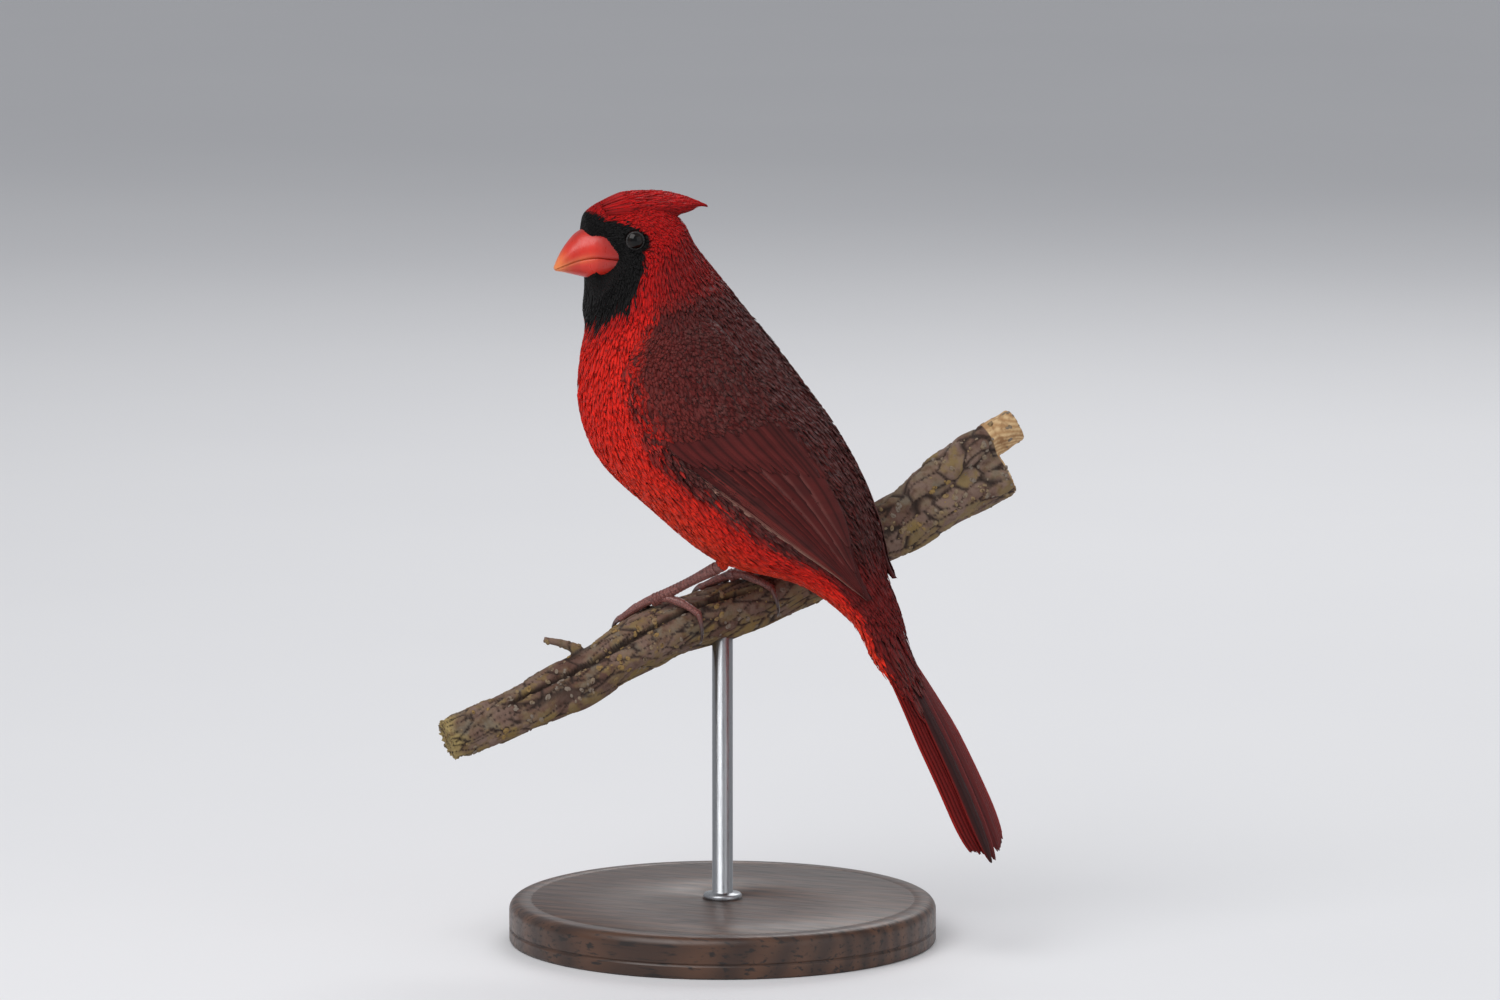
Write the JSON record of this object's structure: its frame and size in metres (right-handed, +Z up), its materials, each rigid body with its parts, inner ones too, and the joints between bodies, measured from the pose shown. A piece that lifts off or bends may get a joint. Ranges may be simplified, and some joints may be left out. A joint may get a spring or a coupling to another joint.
{
  "type": "northern cardinal model",
  "caption": "Life-size still model of a male northern cardinal, perched on a cut length of branch with its head turned left, held by a plain round stand with a rod.",
  "frame": {"origin": "middle of the stand's flat underside", "axes": "+Z up, -Y the way the bird's body heads, +X to the bird's left"},
  "size_m": [0.124, 0.1547, 0.2183],
  "materials": {
    "red_plumage": "matte",
    "dusky_plumage": "matte",
    "bill": "satin",
    "eye": "gloss",
    "leg_skin": "satin",
    "claw": "satin",
    "bark": "rough",
    "base_wood": "satin",
    "rod_steel": "satin"
  },
  "bodies": {
    "root": {"bill_upper": "bill", "bill_lower": "bill", "crest": "red_plumage", "eye_left": "eye", "eye_right": "eye", "wing_left_coverts": "dusky_plumage", "wing_left_secondaries": "dusky_plumage", "wing_left_primaries": "dusky_plumage", "wing_right_coverts": "dusky_plumage", "wing_right_secondaries": "dusky_plumage", "wing_right_primaries": "dusky_plumage", "tail_center": "dusky_plumage", "tail_left": "dusky_plumage", "tail_right": "dusky_plumage", "thigh_left": "red_plumage", "tarsus_left": "leg_skin", "toe_left_inner": "leg_skin", "claw_left_inner": "claw", "toe_left_middle": "leg_skin", "claw_left_middle": "claw", "toe_left_outer": "leg_skin", "claw_left_outer": "claw", "toe_left_hind": "leg_skin", "claw_left_hind": "claw", "thigh_right": "red_plumage", "tarsus_right": "leg_skin", "toe_right_inner": "leg_skin", "claw_right_inner": "claw", "toe_right_middle": "leg_skin", "claw_right_middle": "claw", "toe_right_outer": "leg_skin", "claw_right_outer": "claw", "toe_right_hind": "leg_skin", "claw_right_hind": "claw", "head": "red_plumage", "neck": "red_plumage", "trunk": "red_plumage", "rump": "red_plumage", "branch": "bark", "stand_base": "base_wood", "stand_rod": "rod_steel"}
  },
  "joints": []
}
